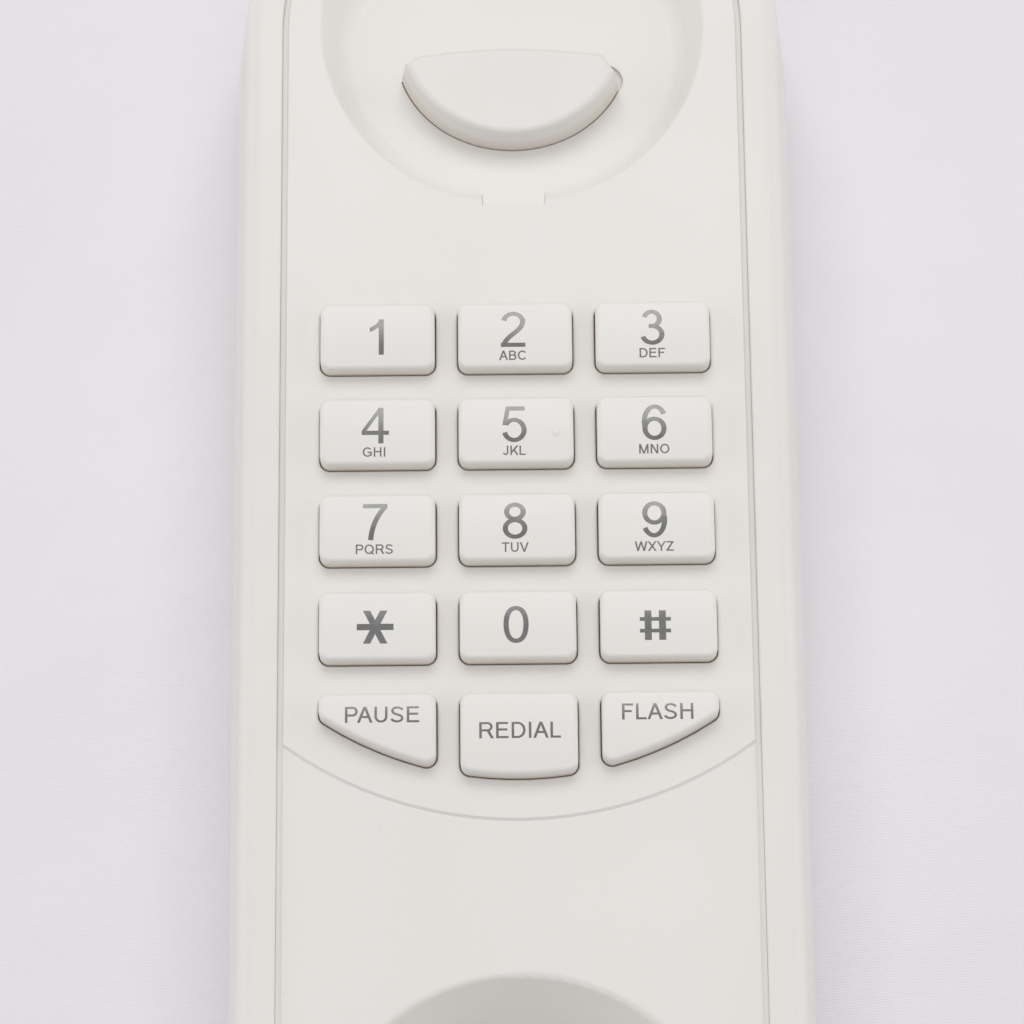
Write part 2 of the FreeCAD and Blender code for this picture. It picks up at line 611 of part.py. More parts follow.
def main_board_chips():
    z1 = MAIN_BOARD_UNDER_Z
    dialler = box(-5.0, 5.0, -2.0, 16.0, z1 - 3.0, z1)
    speech = box(8.0, 17.0, -12.0, -2.5, z1 - 2.6, z1)
    return Part.makeCompound([dialler, speech])


def main_board_capacitors():
    z1 = MAIN_BOARD_UNDER_Z
    places = [(-16.0, 20.0, 3.2, 8.0), (-16.0, 10.5, 2.5, 6.5)]
    places += [(16.0, 14.0, 3.2, 8.0), (-10.0, -20.0, 4.0, 9.0)]
    return Part.makeCompound([rod(x, y, z1 - tall, z1, radius) for x, y, radius, tall in places])


def main_board_resistors():
    z1 = MAIN_BOARD_UNDER_Z
    bodies = []
    for i in range(8):
        y = -28.0 + 4.0 * i
        bodies.append(Part.makeCylinder(1.1, 6.0, Vector(-24.0 + 1.0, y, z1 - 1.3), Vector(1, 0, 0)))
    return Part.makeCompound(bodies)


def header(x, y, z0, z1):
    return box(x - 5, x + 5, y - 2.2, y + 2.2, z0, z1)


def board_headers():
    """Wire headers on both boards."""
    z1 = MAIN_BOARD_UNDER_Z
    on_main = [header(0, -34.0, z1 - 5, z1), header(-12.0, 36.0, z1 - 5, z1)]
    on_line = header(-12.0, 76.0, LINE_BOARD_TOP_Z, LINE_BOARD_TOP_Z + 5)
    return Part.makeCompound(on_main + [on_line])


def line_board():
    y0, y1 = LINE_BOARD_Y
    board = box(-LINE_BOARD_HALF, LINE_BOARD_HALF, y0, y1, LINE_BOARD_UNDER_Z, LINE_BOARD_TOP_Z)
    board = board.makeFillet(2.0, upright_edges(board))
    holes = [rod(x, y, 9, 14, SCREW_HOLE) for x, y in LINE_POSTS]
    return cut_all(board, holes + [rod(0, HOOK_STEM_Y, 9, 14, GUIDE_RADIUS + 0.4)])


def line_board_components():
    z0 = LINE_BOARD_TOP_Z
    bridge = box(-4.0, 4.0, 77.5, 83.5, z0, z0 + 4.5)
    film = box(5.5, 15.5, 78.0, 83.5, z0, z0 + 7.5)
    varistor = Part.makeCylinder(3.6, 3.0, Vector(-9.5, 86.0, z0 + 3.7), Vector(1, 0, 0))
    electrolytic = rod(13.0, 90.0, z0, z0 + 9.0, 3.2)
    return Part.makeCompound([bridge, film, varistor, electrolytic])


def screw(x, y, seat_z, length, head_radius, head_height, shank_radius, upwards):
    """Pan-head screw with a cross recess; the head bears on seat_z and the shank goes up or down."""
    sense = 1 if upwards else -1
    head = Part.makeCylinder(head_radius, head_height, Vector(x, y, seat_z), Vector(0, 0, -sense))
    head = head.makeFillet(head_height * 0.5, edges_at_height(head, seat_z - sense * head_height))
    shank = Part.makeCylinder(shank_radius, length, Vector(x, y, seat_z), Vector(0, 0, sense))
    arm = head_radius * 0.6
    thin = head_radius * 0.14
    outer = seat_z - sense * (head_height + 0.1)
    inner = seat_z - sense * head_height * 0.45
    z0, z1 = sorted((outer, inner))
    along = box(x - arm, x + arm, y - thin, y + thin, z0, z1)
    across = box(x - thin, x + thin, y - arm, y + arm, z0, z1)
    return head.fuse(shank).cut(along.fuse(across))


def case_screws():
    return Part.makeCompound([screw(x, y, 7.5, 11.5, 2.9, 2.0, 1.3, True) for x, y in CASE_POSTS])


def main_board_screws():
    z = MAIN_BOARD_UNDER_Z
    return Part.makeCompound([screw(x, y, z, 5.2, 2.3, 1.6, 1.1, True) for x, y in PANEL_POSTS])


def line_board_screws():
    z = LINE_BOARD_TOP_Z
    return Part.makeCompound([screw(x, y, z, 6.2, 2.3, 1.6, 1.1, False) for x, y in LINE_POSTS])


# ---- jacks ---------------------------------------------------------------------
def jack(width, height, depth, mouth_width, mouth_height, latch_width):
    """Modular jack with its mouth at y = 0 facing +Y and its underside at z = 0."""
    body = box(-width / 2, width / 2, -depth, 0, 0, height)
    mouth_z = height - 1.2 - mouth_height
    mouth = box(-mouth_width / 2, mouth_width / 2, -depth + 2.0, 1, mouth_z, mouth_z + mouth_height)
    latch = box(-latch_width / 2, latch_width / 2, -depth + 4.0, 1, mouth_z - 1.3, mouth_z + 0.1)
    tip = box(-latch_width / 4, latch_width / 4, -depth + 4.0, 1, mouth_z - 2.2, mouth_z)
    return cut_all(body, [mouth, latch, tip])


def jack_contacts(count, height, depth):
    """Springy contact wires along the roof of the mouth."""
    roof = height - 1.2
    run = depth - 5.0
    wires = []
    for i in range(count):
        x = (i - (count - 1) / 2) * 1.02
        wires.append(Part.makeCylinder(0.23, run, Vector(x, -depth + 2.1, roof - 1.3), Vector(0, run, 0.9)))
    return Part.makeCompound(wires)


LINE_JACK = {"height": 10.6, "depth": 15.5}
HANDSET_JACK = {"height": 9.6, "depth": 12.5}


def place_line_jack(shape):
    shape.translate(Vector(0, JACK_FRONT, LINE_BOARD_TOP_Z))
    return shape


def place_handset_jack(shape):
    shape.rotate(Vector(0, 0, 0), Vector(0, 0, 1), 180)
    shape.translate(Vector(0, -JACK_FRONT, LINE_BOARD_TOP_Z))
    return shape


# ---- wire bundles --------------------------------------------------------------
def bundle(points, radius, bend):
    """Round wire bundle through points, with an arc of radius bend at each turn."""
    edges = []
    start = points[0]
    for i in range(1, len(points) - 1):
        here = points[i]
        back = (points[i - 1] - here).normalize()
        ahead = (points[i + 1] - here).normalize()
        half = back.getAngle(ahead) / 2
        reach = bend / math.tan(half)
        middle = (back + ahead).normalize()
        entry = here + back * reach
        exit_ = here + ahead * reach
        deep = here + middle * (bend / math.sin(half) - bend)
        edges.append(Part.LineSegment(start, entry).toShape())
        edges.append(Part.Arc(entry, deep, exit_).toShape())
        start = exit_
    edges.append(Part.LineSegment(start, points[-1]).toShape())
    path = Part.Wire(edges)
    section = Part.Wire(Part.makeCircle(radius, points[0], points[1] - points[0]))
    return path.makePipeShell([section], True, True)


def handset_leads():
    rear = -JACK_FRONT + HANDSET_JACK["depth"]
    points = [
        Vector(0, rear, 16.5),
        Vector(0, rear + 9, 16.0),
        Vector(9, -78, 14.0),
        Vector(7, -58, 14.5),
        Vector(0, -45, 22.9),
        Vector(0, -36.2, 22.9),
    ]
    return bundle(points, 1.1, 7.0)


def board_leads():
    points = [
        Vector(-12, 73.8, 14.8),
        Vector(-12, 66, 15.0),
        Vector(-12, 49, 22.9),
        Vector(-12, 38.2, 22.9),
    ]
    return bundle(points, 1.1, 9.0)


# ---- ringer, slide switches, ballast, feet -------------------------------------
def ringer_disc():
    return ring(0, RINGER_Y, 6.2, 6.5, 13.8, 0.4)


def ringer_clamp():
    return ring(0, RINGER_Y, 6.5, 8.2, 14.8, 12.4)


def slide_switch(x):
    body = box(x - 2.3, x + 2.3, SWITCH_Y - 5.5, SWITCH_Y + 5.5, 5.4, LINE_BOARD_UNDER_Z)
    return body.cut(box(x - 1.2, x + 1.2, SWITCH_Y - 4.2, SWITCH_Y + 4.2, 5.0, 8.4))


def slide_knob(x):
    """Knob at one end of its stroke."""
    y = SWITCH_Y - 2.0
    stalk = box(x - 0.9, x + 0.9, y - 1.5, y + 1.5, 2.6, 8.0)
    cap = box(x - 1.4, x + 1.4, y - 2.0, y + 2.0, 1.5, 3.2)
    return fuse_all([stalk, cap])


def ballast_weight():
    plate = box(-24.0, 24.0, -38.0, 38.0, FLOOR_TOP_Z, FLOOR_TOP_Z + 4.0)
    return plate.makeFillet(3.0, upright_edges(plate))


def rubber_feet():
    feet = []
    for x in (-FOOT_X, FOOT_X):
        for y in (-FOOT_Y, FOOT_Y):
            foot = rod(x, y, 0, FLOOR_BOTTOM_Z + 0.8, FOOT_RADIUS)
            feet.append(foot.makeFillet(0.5, edges_at_height(foot, 0)))
    return Part.makeCompound(feet)


def rating_label():
    label = box(-15.0, 15.0, -21.0, 21.0, FLOOR_BOTTOM_Z + 0.05, FLOOR_BOTTOM_Z + 0.25)
    return label.makeFillet(1.5, upright_edges(label))


def main():
    os.makedirs("parts", exist_ok=True)
    outlines = key_outlines()
    save(upper_housing(), "upper_housing")
    save(face_panel(outlines), "face_panel")
    save(bottom_cover(), "bottom_cover")
    for node, outline in outlines.items():
        save(key_5(outline) if node == "key_5" else key_cap(outline), node)
    save(keypad_membrane(outlines), "keypad_membrane")
    save(carbon_pills(outlines), "carbon_pills")
    save(main_board(), "main_board")
    save(main_board_chips(), "main_board_chips")
    save(main_board_capacitors(), "main_board_capacitors")
    save(main_board_resistors(), "main_board_resistors")
    save(board_headers(), "board_headers")
    save(main_board_screws(), "main_board_screws")
    save(line_board(), "line_board")
    save(line_board_components(), "line_board_components")
    save(line_board_screws(), "line_board_screws")
    save(hook_button(), "hook_button")
    save(hook_spring(), "hook_spring")
    save(hook_switch(), "hook_switch")
    save(hook_switch_leaf(), "hook_switch_leaf")
    save(hanger_tab(), "hanger_tab")
    line = jack(13.2, LINE_JACK["height"], LINE_JACK["depth"], 9.8, 6.8, 6.2)
    save(place_line_jack(line), "line_jack")
    save(place_line_jack(jack_contacts(6, **LINE_JACK)), "line_jack_contacts")
    handset = jack(11.2, HANDSET_JACK["height"], HANDSET_JACK["depth"], 7.8, 6.2, 5.0)
    save(place_handset_jack(handset), "handset_jack")
    save(place_handset_jack(jack_contacts(4, **HANDSET_JACK)), "handset_jack_contacts")
    save(handset_leads(), "handset_leads")
    save(board_leads(), "board_leads")
    save(ringer_disc(), "ringer_disc")
    save(ringer_clamp(), "ringer_clamp")
    for name, x in (("ringer", -SWITCH_X), ("dial_mode", SWITCH_X)):
        save(slide_switch(x), name + "_switch")
        save(slide_knob(x), name + "_knob")
    save(ballast_weight(), "ballast_weight")
    save(rubber_feet(), "rubber_feet")
    save(rating_label(), "rating_label")
    save(case_screws(), "case_screws")


main()
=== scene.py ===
"""Looks of a slim corded telephone base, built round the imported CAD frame.

Lengths are in metres. X runs across the phone, +Y towards the earpiece end and +Z up out
of the face. The only pieces added to the phone are the key legends, which are thin ink.
"""

import json
import math

import bmesh
import bpy
from mathutils import Matrix, Vector
from mathutils.bvhtree import BVHTree
from mathutils.geometry import delaunay_2d_cdt


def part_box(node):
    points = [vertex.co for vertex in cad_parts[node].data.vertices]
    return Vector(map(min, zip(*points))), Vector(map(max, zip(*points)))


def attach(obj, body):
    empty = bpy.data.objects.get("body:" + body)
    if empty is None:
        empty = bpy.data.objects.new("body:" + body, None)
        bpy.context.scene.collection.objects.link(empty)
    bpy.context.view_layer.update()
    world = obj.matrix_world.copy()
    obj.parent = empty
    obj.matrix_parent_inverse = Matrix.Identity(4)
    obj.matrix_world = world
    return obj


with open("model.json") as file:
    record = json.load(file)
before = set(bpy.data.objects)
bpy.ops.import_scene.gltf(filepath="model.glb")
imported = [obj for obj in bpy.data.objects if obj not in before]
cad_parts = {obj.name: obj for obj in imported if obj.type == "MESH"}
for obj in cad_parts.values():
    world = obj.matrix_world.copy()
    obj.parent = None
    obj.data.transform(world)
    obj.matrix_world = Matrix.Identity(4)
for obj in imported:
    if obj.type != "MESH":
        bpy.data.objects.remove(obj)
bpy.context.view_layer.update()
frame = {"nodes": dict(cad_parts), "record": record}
NODES = frame["nodes"]
MM = 0.001

# ---- camera ------------------------------------------------------------------------
CAMERA_AIM_FORWARD = 0.00896     # the view's centre meets the face this far towards the earpiece
CAMERA_AIM_SIDE = -0.00063
CAMERA_DISTANCE = 0.51925
CAMERA_TILT = 17.36              # degrees away from straight down, from the mouthpiece end
CAMERA_ROLL = -0.565             # degrees
CAMERA_LENS = 139.36             # millimetres
CAMERA_SENSOR = 36.0             # millimetres

# ---- studio ------------------------------------------------------------------------
FLOOR_HALF = 3.0
FLOOR_TURN = 6                   # degrees between the weave and the phone
LIGHT_COLOUR = (1.0, 0.995, 0.985)
LIGHTS = (                       # name, place, width, height, watts
    ("head_softbox", (0.0, 0.86, 1.22), 1.1, 0.74, 7.1),
    ("overhead_softbox", (0.0, -0.2, 1.5), 1.2, 1.0, 2.2),
    ("front_fill", (0.0, -1.0, 0.5), 1.2, 0.6, 0.45),
    ("left_panel", (-0.85, 0.05, 0.34), 0.9, 0.6, 1.8),
    ("right_panel", (0.85, 0.05, 0.34), 0.9, 0.6, 1.8),
)
WORLD_COLOUR = (1.0, 0.985, 0.99, 1.0)
WORLD_STRENGTH = 0.47

# ---- plastics ----------------------------------------------------------------------
HOUSING = (0.805, 0.788, 0.762)
PANEL = (0.815, 0.798, 0.772)
KEYS = (0.81, 0.796, 0.768)
PAINTED_SHADE_TONE = (1.04, 0.985, 0.92)  # painted shade: what red, green and blue are multiplied by low on the keys and in their openings, a warm glow in the gaps
HOOK_PAINTED_SHADE_TONE = (0.95, 0.90, 0.85)   # painted shade for the hook button: the same, and it also turns darker
KEY_FOOT_FADE = 1.6 * MM         # the keys' painted shade fades out over this height above the face
HOOK_FOOT = 3.7 * MM             # the hook button's painted shade is full from this far below its top
HOOK_FOOT_FADE = 1.4 * MM
OPENING_DEPTH = 1.0 * MM         # the openings' painted shade is full from this far below the face
OPENING_FADE = 0.5 * MM
KEY_FIELD_FADE = 1.0 * MM

# ---- printed legends ---------------------------------------------------------------
DIGIT_HEIGHT = 4.95 * MM
LETTER_HEIGHT = 1.28 * MM
WORD_HEIGHT = 2.14 * MM
DIGIT_STROKES = (0.135, 0.115)   # upright and level stroke, of the glyph's height
LETTER_STROKES = (0.155, 0.138)
WORD_STROKES = (0.15, 0.13)
LEGEND_SHIFT = -0.25 * MM        # the print sits a little left of the keys' middles
DIGIT_MIDDLE = 0.68 * MM         # middle of a digit that has letters under it
LETTER_MIDDLE = -2.9 * MM
LONE_DIGIT_MIDDLE = -0.1 * MM
LETTERS_UNDER = {
    "2": "ABC", "3": "DEF", "4": "GHI", "5": "JKL",
    "6": "MNO", "7": "PQRS", "8": "TUV", "9": "WXYZ",
}
WORDS = {                        # word, across from the key's middle, up from its far edge
    "pause": ("PAUSE", 0.65 * MM, -2.94 * MM),
    "redial": ("REDIAL", 0.13 * MM, -5.15 * MM),
    "flash": ("FLASH", -0.39 * MM, -2.85 * MM),
}
PRINT_OFFSETS = {                # prints that sit a little off their usual place: across, up
    "1": (0.18 * MM, -0.12 * MM), "3": (0.18 * MM, 0.10 * MM), "6": (0.18 * MM, 0.10 * MM),
    "ABC": (-0.12 * MM, -0.05 * MM), "DEF": (0.14 * MM, 0.12 * MM), "GHI": (-0.17 * MM, -0.05 * MM),
    "MNO": (0.14 * MM, 0.03 * MM), "PQRS": (-0.12 * MM, -0.10 * MM), "WXYZ": (-0.12 * MM, -0.05 * MM),
    "star": (0.0, -0.18 * MM), "hash": (-0.20 * MM, -0.28 * MM),
}
KERNING = {"PA": -0.10}          # of the letter height
KEY_FLANGE = 0.8 * MM            # hidden rim round each key, which its box includes
INK_REFRACTION = 2.05            # higher than a real ink's, for a stronger sheen
INK_THICKNESS = 0.012 * MM
INK_SINK = 0.05 * MM             # the ink starts this far inside the key
ABOVE_KEYS = 1.0                 # height from which the keys' tops are looked up
LONGEST_STEP = 0.09              # of the glyph's height, so that the ink follows the key's crown


# ---- strokes of the legends, on a body height of 1 --------------------------------
def line(start, end):
    """The two ends of a straight stroke."""
    return [start, end]


def arc(cx, cy, rx, ry, start, end, power=2.0):
    """Points on an elliptical arc; a power above 2 makes it squarer."""
    count = max(4, math.ceil(abs(end - start) / 9))
    points = []
    for i in range(count + 1):
        angle = math.radians(start + (end - start) * i / count)
        across, up = math.cos(angle), math.sin(angle)
        x = cx + rx * math.copysign(abs(across) ** (2 / power), across)
        y = cy + ry * math.copysign(abs(up) ** (2 / power), up)
        points.append((x, y))
    return points


def curve(p0, p1, p2, p3):
    """Points on a cubic curve from p0 to p3."""
    points = []
    for i in range(13):
        t = i / 12
        s = 1 - t
        weights = (s ** 3, 3 * s * s * t, 3 * s * t * t, t ** 3)
        x = sum(w * p[0] for w, p in zip(weights, (p0, p1, p2, p3)))
        y = sum(w * p[1] for w, p in zip(weights, (p0, p1, p2, p3)))
        points.append((x, y))
    return points


def divided(points, closed):
    """The same line with no step longer than LONGEST_STEP and no doubled points."""
    result = []
    count = len(points)
    for i in range(count if closed else count - 1):
        a = Vector(points[i])
        b = Vector(points[(i + 1) % count])
        length = (b - a).length
        if length < 1e-4:
            continue
        steps = math.ceil(length / LONGEST_STEP)
        result += [a.lerp(b, k / steps) for k in range(steps)]
    if not closed:
        result.append(Vector(points[-1]))
    return result


def outline(points):
    """A filled shape with straight sides, counter-clockwise."""
    area = sum(a[0] * b[1] - a[1] * b[0] for a, b in zip(points, points[1:] + points[:1]))
    return [divided(points if area > 0 else points[::-1], True)]


def rect(x0, y0, x1, y1):
    """Level bar or upright, by its left, bottom, right and top."""
    return outline([(x0, y0), (x1, y0), (x1, y1), (x0, y1)])


def slant(x0, y0, x1, y1, width):
    """Sloping bar with level ends; x0 and x1 are its left side below and above."""
    return outline([(x0, y0), (x0 + width, y0), (x1 + width, y1), (x1, y1)])


def stroke(points, upright, level, closed=False):
    """Ribbon along a line; it is upright wide where it runs up and level wide where it runs across."""
    path = divided(points, closed)
    count = len(path)
    left, right = [], []
    for i, here in enumerate(path):
        back = path[i - 1] if i or closed else here
        ahead = path[(i + 1) % count] if i < count - 1 or closed else here
        along = (ahead - back).normalized()
        half = math.hypot(upright * along.y, level * along.x) / 2
        side = Vector((-along.y, along.x)) * half
        left.append(here + side)
        right.append(here - side)
    quads = []
    for i in range(count if closed else count - 1):
        j = (i + 1) % count
        quads.append([right[i], right[j], left[j], left[i]])
    return quads


def turned(shapes, width):
    """Shapes turned half a turn about the middle of a glyph of that width."""
    return [[Vector((width - p[0], 1 - p[1])) for p in shape] for shape in shapes]


def digits(u, l):
    """Digit to (width, filled shapes) for an upright stroke u and a level stroke l."""
    a, b = u / 2, l / 2
    six = stroke(arc(0.335, 0.325, 0.32 - a, 0.325 - b, 0, 360)[:-1], u, l, True)
    six += stroke(arc(0.35, 0.5, 0.35 - a, 0.5 - b, 32, 195), u, l)
    two = arc(0.335, 0.715, 0.32 - a, 0.285 - b, 172, -22)
    two += curve(two[-1], (0.49, 0.41), (0.15, 0.31), (0.085, 0.06))
    three = arc(0.32, 0.765 - b / 2, 0.27 - a, 0.235 - b / 2, 165, -90) + [(0.235, 0.53)]
    three_low = [(0.235, 0.53)] + arc(0.325, 0.265 + b / 2, 0.325 - a, 0.265 - b / 2, 90, -165)
    five = arc(0.335, 0.33, 0.328 - a, 0.29, 147, 0) + arc(0.335, 0.33, 0.328 - a, 0.33 - b, 0, -167)
    seven = curve((0.585, 0.92), (0.40, 0.72), (0.225, 0.40), (0.20, 0.0))
    eight = stroke(arc(0.325, 0.745, 0.285 - a, 0.255 - b, 0, 360)[:-1], u, l, True)
    eight += stroke(arc(0.325, 0.285, 0.325 - a, 0.285 - b, 0, 360)[:-1], u, l, True)
    flag = [(0.0, 0.635), (0.12, 0.69), (0.25, 0.785), (0.30, 1.0), (0.285, 1.0), (0.16, 0.85),
            (0.0, 0.755)]
    four = [(0.0, 0.352), (0.125, 0.352), (0.44, 0.81), (0.5, 1.0), (0.455, 1.0)]
    return {
        "0": (0.655, stroke(arc(0.3275, 0.5, 0.3275 - a, 0.5 - b, 0, 360, 2.25)[:-1], u, l, True)),
        "1": (0.375, rect(0.375 - u, 0, 0.375, 1) + outline(flag)),
        "2": (0.66, stroke(two, u, l) + rect(0, 0, 0.655, l)),
        "3": (0.65, stroke(three, u, l) + stroke(three_low, u, l)),
        "4": (0.72, rect(0.44, 0, 0.44 + u, 1) + rect(0, 0.352 - l, 0.72, 0.352) + outline(four)),
        "5": (0.663, rect(0.13, 1 - l, 0.615, 1) + slant(0.022, 0.475, 0.12, 1, 0.115)
              + stroke(five, u, l)),
        "6": (0.655, six),
        "7": (0.64, rect(0, 1 - l, 0.64, 1) + stroke(seven, u, l)),
        "8": (0.65, eight),
        "9": (0.655, turned(six, 0.655)),
    }


def straight_letters(u, l):
    """Letter to (advance, left bearing, shapes), for letters with no round strokes."""
    a = u / 2
    w = u * 1.08
    return {
        "A": (0.932, 0.0, slant(0, 0, 0.465 - w / 2, 1, w) + slant(0.93 - w, 0, 0.465 - w / 2, 1, w)
              + rect(0.18, 0.29, 0.75, 0.29 + l)),
        "E": (0.932, 0.11, rect(0, 0, u, 1) + rect(0, 1 - l, 0.72, 1) + rect(0, 0.47, 0.68, 0.47 + l)
              + rect(0, 0, 0.747, l)),
        "F": (0.853, 0.115, rect(0, 0, u, 1) + rect(0, 1 - l, 0.675, 1)
              + rect(0, 0.455, 0.58, 0.455 + l)),
        "H": (1.009, 0.112, rect(0, 0, u, 1) + rect(0.785 - u, 0, 0.785, 1)
              + rect(0, 0.47, 0.785, 0.47 + l)),
        "I": (0.388, 0.13, rect(0, 0, u, 1)),
        "K": (0.932, 0.102, rect(0, 0, u, 1) + slant(0.0, 0.26, 0.62, 1, u * 1.4)
              + slant(0.828 - w * 1.12, 0, 0.28, 0.58, w * 1.12)),
        "L": (0.777, 0.102, rect(0, 0, u, 1) + rect(0, 0, 0.626, l)),
        "M": (1.164, 0.104, rect(0, 0, u, 1) + rect(0.956 - u, 0, 0.956, 1)
              + slant(0.478 - w / 2, 0, 0.0, 1, w) + slant(0.478 - w / 2, 0, 0.956 - w, 1, w)),
        "N": (1.009, 0.106, rect(0, 0, u, 1) + rect(0.788 - u, 0, 0.788, 1)
              + slant(0.788 - w * 1.1, 0, 0.0, 1, w * 1.1)),
        "T": (0.853, 0.033, rect(0, 1 - l, 0.79, 1) + rect(0.395 - a, 0, 0.395 + a, 1)),
        "V": (0.932, 0.006, slant(0.458 - w / 2, 0, 0, 1, w) + slant(0.458 - w / 2, 0, 0.917 - w, 1, w)),
        "W": (1.319, 0.017, slant(0.33 - w / 2, 0, 0, 1, w) + slant(0.33 - w / 2, 0, 0.64 - w / 2, 1, w)
              + slant(0.95 - w / 2, 0, 0.64 - w / 2, 1, w) + slant(0.95 - w / 2, 0, 1.28 - w, 1, w)),
        "X": (0.932, 0.006, slant(0, 0, 0.92 - w * 1.15, 1, w * 1.15)
              + slant(0.92 - w * 1.15, 0, 0, 1, w * 1.15)),
        "Y": (0.932, 0.004, rect(0.458 - a, 0, 0.458 + a, 0.45) + slant(0.458 - w / 2, 0.4, 0, 1, w)
              + slant(0.458 - w / 2, 0.4, 0.917 - w, 1, w)),
        "Z": (0.853, 0.028, rect(0.03, 1 - l, 0.76, 1) + rect(0, 0, 0.785, l)
              + slant(0, l / 2, 0.76 - w * 1.2, 1 - l / 2, w * 1.2)),
    }


def round_letters(u, l):
    """Letter to (advance, left bearing, shapes), for letters with round strokes."""
    a, b = u / 2, l / 2
    stem = rect(0, 0, u, 1)
    middle = 0.53

    def bowl(right, low, high, straight):
        """Half-round stroke that leaves the stem at low and at high."""
        path = line((a, high), (straight, high))
        path += arc(straight, (low + high) / 2, right - a - straight, (high - low) / 2, 90, -90)
        return stroke(path + [(a, low)], u, l)

    ring = stroke(arc(0.478, 0.5, 0.478 - a, 0.5 - b, 0, 360)[:-1], u, l, True)
    hook = line((0.552 - a, 1), (0.552 - a, 0.285)) + arc(0.276, 0.285, 0.276 - a, 0.285 - b, 0, -172)
    snake = arc(0.39, 0.735, 0.33, 0.265 - b, 14, 90) + arc(0.39, 0.735, 0.345 - a, 0.265 - b, 90, 180)
    snake += curve(snake[-1], (0.045 + a, 0.435), (0.78 - a, 0.55), (0.78 - a, 0.265))
    snake += arc(0.40, 0.265, 0.38 - a, 0.265 - b, 0, -90) + arc(0.40, 0.265, 0.34, 0.265 - b, 270, 190)
    cup = line((a, 1), (a, 0.38)) + arc(0.3935, 0.38, 0.3935 - a, 0.38 - b, 180, 360)
    open_ring = arc(0.47, 0.5, 0.47 - a, 0.5 - b, 38, 322)
    spur = rect(0.50, 0.40, 0.93, 0.40 + l) + rect(0.93 - u, 0.12, 0.93, 0.40)
    return {
        "B": (0.932, 0.102, stem + bowl(0.71, middle, 1 - b, 0.43) + bowl(0.755, b, middle, 0.46)),
        "C": (1.009, 0.07, stroke(open_ring, u, l)),
        "D": (1.009, 0.108, stem + bowl(0.834, b, 1 - b, 0.36)),
        "G": (1.087, 0.072, stroke(arc(0.475, 0.5, 0.475 - a, 0.5 - b, 40, 322), u, l) + spur),
        "J": (0.698, 0.039, stroke(hook, u, l)),
        "O": (1.087, 0.068, ring),
        "P": (0.932, 0.108, stem + bowl(0.763, 0.46, 1 - b, 0.47)),
        "Q": (1.087, 0.06, ring + stroke(line((0.60, 0.26), (0.93, -0.02)), u, l)),
        "R": (1.009, 0.11, stem + bowl(0.80, 0.49, 1 - b, 0.50)
              + slant(0.88 - u * 1.25, 0, 0.42, 0.49, u * 1.25)),
        "S": (0.932, 0.063, stroke(snake, u, l)),
        "U": (1.009, 0.11, stroke(cup + [(0.787 - a, 1)], u, l)),
    }


def star():
    """Six-armed star, in the same scale as the digits."""
    bars = rect(0, 0.36, 0.96, 0.53)
    for low, high in ((0.16, 0.61), (0.61, 0.16)):
        bars += slant(low, 0, high, 0.89, 0.19)
    return 0.96, 0.89, bars


def hash_sign():
    """Two uprights and two level bars, in the same scale as the digits."""
    bars = []
    for x in (0.125, 0.50):
        bars += rect(x, 0, x + 0.18, 0.80)
    for y in (0.20, 0.515):
        bars += rect(0, y, 0.81, y + 0.1)
    return 0.81, 0.80, bars


# ---- ink ---------------------------------------------------------------------------
def merged(shapes):
    """Union of overlapping flat shapes: its points and its triangles."""
    points, faces = [], []
    for shape in shapes:
        start = len(points)
        points += [Vector((p[0], p[1])) for p in shape]
        faces.append(list(range(start, len(points))))
    found, _, triangles, _, _, sources = delaunay_2d_cdt(points, [], faces, 0, 1e-4, True)
    kept = [t for t, source in zip(triangles, sources) if source]
    return found, kept


def word_shapes(text, upright, level):
    """Shapes of a word and its width, both on a letter height of 1."""
    letters = {**straight_letters(upright, level), **round_letters(upright, level)}
    shapes = []
    pen = 0.0
    for i, letter in enumerate(text):
        advance, bearing, parts = letters[letter]
        pen += KERNING.get(text[i - 1:i + 1], 0.0)
        shapes += [[Vector((p[0] + pen + bearing, p[1])) for p in part] for part in parts]
        pen += advance
    left = min(p[0] for shape in shapes for p in shape)
    right = max(p[0] for shape in shapes for p in shape)
    return right - left, [[Vector((p[0] - left, p[1])) for p in shape] for shape in shapes]


def lay_ink(mesh, key_tree, width, height, shapes, scale, middle):
    """Adds a thin closed layer of ink that follows the key's top, with its middle at middle."""
    points, triangles = merged(shapes)
    used = sorted({i for t in triangles for i in t})
    top, bottom = {}, {}
    for i in used:
        x = middle[0] + (points[i].x - width / 2) * scale
        y = middle[1] + (points[i].y - height / 2) * scale
        hit = key_tree.ray_cast(Vector((x, y, ABOVE_KEYS)), Vector((0, 0, -1)))[0]
        top[i] = mesh.verts.new((x, y, hit.z + INK_THICKNESS))
        bottom[i] = mesh.verts.new((x, y, hit.z - INK_SINK))
    sides = {}
    for a, b, c in triangles:
        mesh.faces.new((top[a], top[b], top[c])).smooth = True
        mesh.faces.new((bottom[c], bottom[b], bottom[a]))
        for edge in ((a, b), (b, c), (c, a)):
            sides[edge] = True
    for a, b in sides:
        if (b, a) not in sides:
            mesh.faces.new((top[b], top[a], bottom[a], bottom[b]))


def legend_piece(name, prints, ink):
    """One key's legend: each print is (width, height, shapes, scale, middle)."""
    node = "key_" + name
    tree = BVHTree.FromObject(NODES[node], bpy.context.evaluated_depsgraph_get())
    mesh = bmesh.new()
    for one in prints:
        lay_ink(mesh, tree, *one)
    for edge in mesh.edges:
        if len({face.smooth for face in edge.link_faces}) > 1:
            edge.smooth = False
    data = bpy.data.meshes.new("legend_" + name)
    mesh.to_mesh(data)
    mesh.free()
    data.materials.append(ink)
    piece = bpy.data.objects.new("legend_" + name, data)
    bpy.context.scene.collection.objects.link(piece)
    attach(piece, node + "_body")


